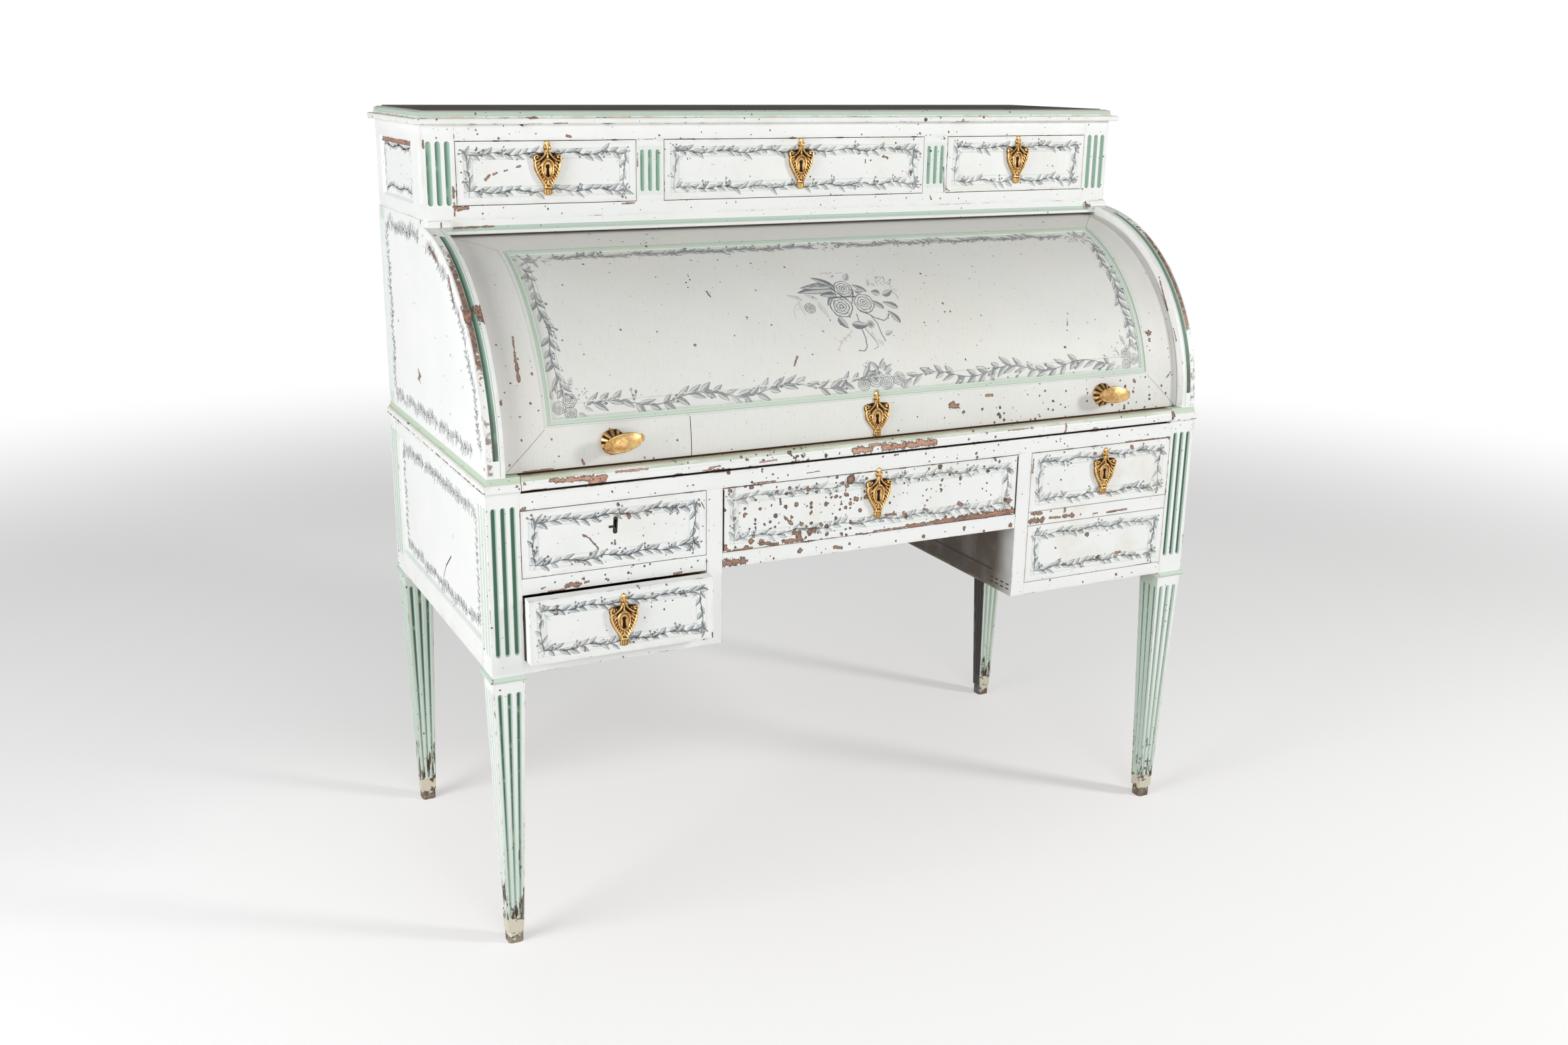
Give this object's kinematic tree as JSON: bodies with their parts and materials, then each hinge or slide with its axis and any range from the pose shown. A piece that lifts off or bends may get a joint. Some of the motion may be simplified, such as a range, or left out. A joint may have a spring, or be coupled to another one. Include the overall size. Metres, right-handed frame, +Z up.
{
  "type": "cylinder desk",
  "caption": "Painted writing desk on tapering fluted legs, with a curved cylinder lid over a pull-out writing slide, pedestal drawers and a row of drawers in an upper case.",
  "frame": {"origin": "on the floor, below the centre of the model's box", "axes": "+Z up, +X to the right seen from the front, the front faces -Y"},
  "size_m": [1.316, 0.636, 1.268],
  "materials": {
    "legs_paint": "chipped white paint with green flutes",
    "case_paint": "chipped white paint with drawn garlands",
    "moulding_paint": "chipped white and pale green paint",
    "cheek_paint": "white paint with drawn garlands",
    "upper_paint": "white paint with green flutes",
    "front_paint": "speckled cool white paint with leaf borders",
    "cylinder_paint": "warm grey-white paint with drawn flowers",
    "frame_paint": "pale green paint",
    "inner_wood": "bare, aged wood",
    "top_wood": "dark, dull wood",
    "gilt_brass": "gilt, worn",
    "arm_iron": "dull",
    "slide_leather": "dark green, smooth"
  },
  "bodies": {
    "case": {"leg_front_left": "legs_paint", "leg_front_right": "legs_paint", "leg_back_left": "legs_paint", "leg_back_right": "legs_paint", "side_left": "case_paint", "side_right": "case_paint", "partition_left": "case_paint", "partition_right": "case_paint", "rail_top": "case_paint", "rail_left": "case_paint", "rail_centre": "case_paint", "pedestal_floors": "case_paint", "waist_left": "moulding_paint", "waist_right": "moulding_paint", "cove_rail": "moulding_paint", "cornice": "moulding_paint", "cheek_left": "cheek_paint", "cheek_right": "cheek_paint", "upper_side_left": "upper_paint", "upper_side_right": "upper_paint", "upper_dividers": "upper_paint", "upper_rail": "upper_paint", "upper_floor": "upper_paint", "top_board": "top_wood", "desk_bed": "inner_wood", "back_lower": "inner_wood", "back_upper": "inner_wood", "pigeonholes": "inner_wood"},
    "cylinder": {"cylinder_shell": "cylinder_paint", "field_moulding": "frame_paint", "handles": "gilt_brass", "plate_cylinder": "gilt_brass", "pivot_arms": "arm_iron"},
    "slide": {"slide_board": "inner_wood", "slide_front": "moulding_paint", "slide_leather": "slide_leather"},
    "drawer_left_upper": {"front_left_upper": "front_paint", "box_left_upper": "inner_wood"},
    "drawer_left_lower": {"front_left_lower": "front_paint", "box_left_lower": "inner_wood", "plate_left_lower": "gilt_brass"},
    "drawer_centre": {"front_centre": "front_paint", "box_centre": "inner_wood", "plate_centre": "gilt_brass"},
    "drawer_right": {"front_right": "front_paint", "box_right": "inner_wood", "plate_right": "gilt_brass"},
    "drawer_top_left": {"front_top_left": "front_paint", "box_top_left": "inner_wood", "plate_top_left": "gilt_brass"},
    "drawer_top_centre": {"front_top_centre": "front_paint", "box_top_centre": "inner_wood", "plate_top_centre": "gilt_brass"},
    "drawer_top_right": {"front_top_right": "front_paint", "box_top_right": "inner_wood", "plate_top_right": "gilt_brass"},
    "inner_drawer_left": {"small_drawer_left": "inner_wood"},
    "inner_drawer_right": {"small_drawer_right": "inner_wood"}
  },
  "joints": [
    {"name": "cylinder_turn", "type": "hinge", "parent": "case", "child": "cylinder", "pos_m": [0, 0.042, 0.769], "axis": [-1, 0, 0], "range_deg": [0, 58]},
    {"name": "slide_pull", "type": "slide", "parent": "case", "child": "slide", "axis": [0, -1, 0], "range_m": [0, 0.24]},
    {"name": "left_upper_pull", "type": "slide", "parent": "case", "child": "drawer_left_upper", "axis": [0, -1, 0], "range_m": [0, 0.38]},
    {"name": "left_lower_pull", "type": "slide", "parent": "case", "child": "drawer_left_lower", "axis": [0, -1, 0], "range_m": [-0.028, 0.352]},
    {"name": "centre_pull", "type": "slide", "parent": "case", "child": "drawer_centre", "axis": [0, -1, 0], "range_m": [0, 0.38]},
    {"name": "right_pull", "type": "slide", "parent": "case", "child": "drawer_right", "axis": [0, -1, 0], "range_m": [0, 0.38]},
    {"name": "top_left_pull", "type": "slide", "parent": "case", "child": "drawer_top_left", "axis": [0, -1, 0], "range_m": [0, 0.17]},
    {"name": "top_centre_pull", "type": "slide", "parent": "case", "child": "drawer_top_centre", "axis": [0, -1, 0], "range_m": [0, 0.17]},
    {"name": "top_right_pull", "type": "slide", "parent": "case", "child": "drawer_top_right", "axis": [0, -1, 0], "range_m": [0, 0.17]},
    {"name": "inner_left_pull", "type": "slide", "parent": "case", "child": "inner_drawer_left", "axis": [0, -1, 0], "range_m": [0, 0.12]},
    {"name": "inner_right_pull", "type": "slide", "parent": "case", "child": "inner_drawer_right", "axis": [0, -1, 0], "range_m": [0, 0.12]}
  ]
}
